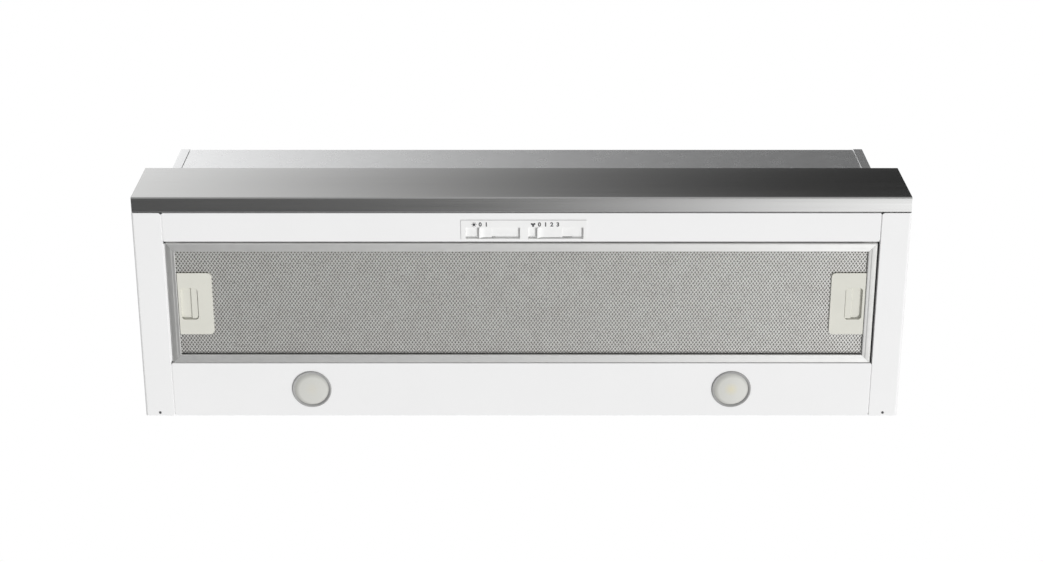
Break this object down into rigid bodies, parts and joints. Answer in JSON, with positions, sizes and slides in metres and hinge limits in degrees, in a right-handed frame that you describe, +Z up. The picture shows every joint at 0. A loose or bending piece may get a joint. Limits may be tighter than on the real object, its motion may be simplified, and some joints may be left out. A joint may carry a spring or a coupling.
{
  "type": "slide-out cooker hood",
  "caption": "Shallow steel extractor hood for a wall cupboard, with a fascia that slides forward, a grease filter with sprung latches, lamps, slide switches, a blower and a duct collar.",
  "frame": {"origin": "on the back panel's outer face, midway across, level with the cupboard's underside", "axes": "+X to the right seen from the front, +Y back into the wall, +Z up"},
  "size_m": [0.9, 0.278, 0.2736],
  "materials": {
    "brushed_stainless": "brushed along the width",
    "galvanised_steel": "satin",
    "zinc_plated_steel": "zinc plated",
    "dark_steel": "dark, satin",
    "filter_aluminium": "rolled, satin",
    "expanded_aluminium": "expanded mesh in layers",
    "white_paint": "semi-gloss powder coat",
    "white_plastic": "moulded",
    "ivory_plastic": "moulded, fine texture",
    "black_plastic": "moulded",
    "grey_plastic": "moulded",
    "lamp_ring": "satin grey",
    "frosted_lens": "frosted, translucent"
  },
  "bodies": {
    "hood_body": {"housing_front_panel": "galvanised_steel", "housing_back_panel": "galvanised_steel", "housing_top_panel": "galvanised_steel", "lamp_panel": "white_paint", "rear_ledge": "galvanised_steel", "inner_filter_frame": "filter_aluminium", "inner_filter_mesh": "expanded_aluminium", "scroll_half_left": "black_plastic", "scroll_half_right": "black_plastic", "motor_can": "dark_steel", "motor_plate": "galvanised_steel", "motor_capacitor": "grey_plastic", "terminal_box": "black_plastic", "cable_gland": "black_plastic", "duct_collar": "black_plastic", "damper_bridge": "black_plastic", "damper_pin_front": "zinc_plated_steel", "damper_pin_rear": "zinc_plated_steel", "housing_side_left": "galvanised_steel", "housing_side_right": "galvanised_steel", "side_cover_left": "white_paint", "side_cover_right": "white_paint", "cover_screw_left": "dark_steel", "cover_screw_right": "dark_steel", "outer_rail_left": "zinc_plated_steel", "outer_rail_right": "zinc_plated_steel", "lamp_bezel_left": "lamp_ring", "lamp_bezel_right": "lamp_ring", "lamp_lens_left": "frosted_lens", "lamp_lens_right": "frosted_lens", "lamp_can_left": "dark_steel", "lamp_can_right": "dark_steel"},
    "carriage": {"fascia": "brushed_stainless", "fascia_backing": "galvanised_steel", "control_strip": "white_paint", "carriage_crossbar": "white_paint", "visor_plate": "white_paint", "switch_bezel": "white_plastic", "switch_box": "black_plastic", "fascia_end_cap_left": "brushed_stainless", "fascia_end_cap_right": "brushed_stainless", "carriage_arm_left": "white_paint", "carriage_arm_right": "white_paint", "inner_rail_left": "zinc_plated_steel", "inner_rail_right": "zinc_plated_steel"},
    "light_slider": {"light_slider": "white_plastic"},
    "fan_slider": {"fan_slider": "white_plastic"},
    "grease_filter": {"filter_frame": "filter_aluminium", "filter_mesh": "expanded_aluminium", "latch_plate_left": "ivory_plastic", "latch_plate_right": "ivory_plastic"},
    "latch_tab_left": {"latch_tab_left": "ivory_plastic"},
    "latch_tab_right": {"latch_tab_right": "ivory_plastic"},
    "ball_cage_left": {"ball_cage_left": "zinc_plated_steel"},
    "ball_cage_right": {"ball_cage_right": "zinc_plated_steel"},
    "impeller": {"impeller": "grey_plastic", "motor_shaft": "zinc_plated_steel"},
    "damper_flap_front": {"damper_flap_front": "grey_plastic"},
    "damper_flap_rear": {"damper_flap_rear": "grey_plastic"}
  },
  "joints": [
    {"name": "carriage_slide", "type": "slide", "parent": "hood_body", "child": "carriage", "axis": [0, -1, 0], "range_m": [0, 0.16]},
    {"name": "ball_cage_left_slide", "type": "slide", "parent": "hood_body", "child": "ball_cage_left", "axis": [0, -1, 0], "range_m": [0, 0.08]},
    {"name": "ball_cage_right_slide", "type": "slide", "parent": "hood_body", "child": "ball_cage_right", "axis": [0, -1, 0], "range_m": [0, 0.08]},
    {"name": "light_switch", "type": "slide", "parent": "carriage", "child": "light_slider", "axis": [1, 0, 0], "range_m": [0, 0.007]},
    {"name": "fan_switch", "type": "slide", "parent": "carriage", "child": "fan_slider", "axis": [1, 0, 0], "range_m": [0, 0.0216]},
    {"name": "filter_removal", "type": "slide", "parent": "carriage", "child": "grease_filter", "axis": [0, 0, -1], "range_m": [0, 0.12]},
    {"name": "latch_left_draw", "type": "slide", "parent": "grease_filter", "child": "latch_tab_left", "axis": [1, 0, 0], "range_m": [0, 0.006], "stiffness_N_per_m": 250, "springref_m": -0.004},
    {"name": "latch_right_draw", "type": "slide", "parent": "grease_filter", "child": "latch_tab_right", "axis": [-1, 0, 0], "range_m": [0, 0.006], "stiffness_N_per_m": 250, "springref_m": -0.004},
    {"name": "impeller_spin", "type": "hinge", "parent": "hood_body", "child": "impeller", "pos_m": [0, -0.16, 0.092], "axis": [1, 0, 0], "continuous": true},
    {"name": "damper_front_swing", "type": "hinge", "parent": "hood_body", "child": "damper_flap_front", "pos_m": [0, -0.1042, 0.1984], "axis": [-1, 0, 0], "range_deg": [0, 75]},
    {"name": "damper_rear_swing", "type": "hinge", "parent": "hood_body", "child": "damper_flap_rear", "pos_m": [0, -0.0958, 0.1984], "axis": [1, 0, 0], "range_deg": [0, 75]}
  ],
  "couplings": [
    {"joint": "ball_cage_left_slide", "follows": "carriage_slide", "ratio": 0.5},
    {"joint": "ball_cage_right_slide", "follows": "carriage_slide", "ratio": 0.5}
  ]
}
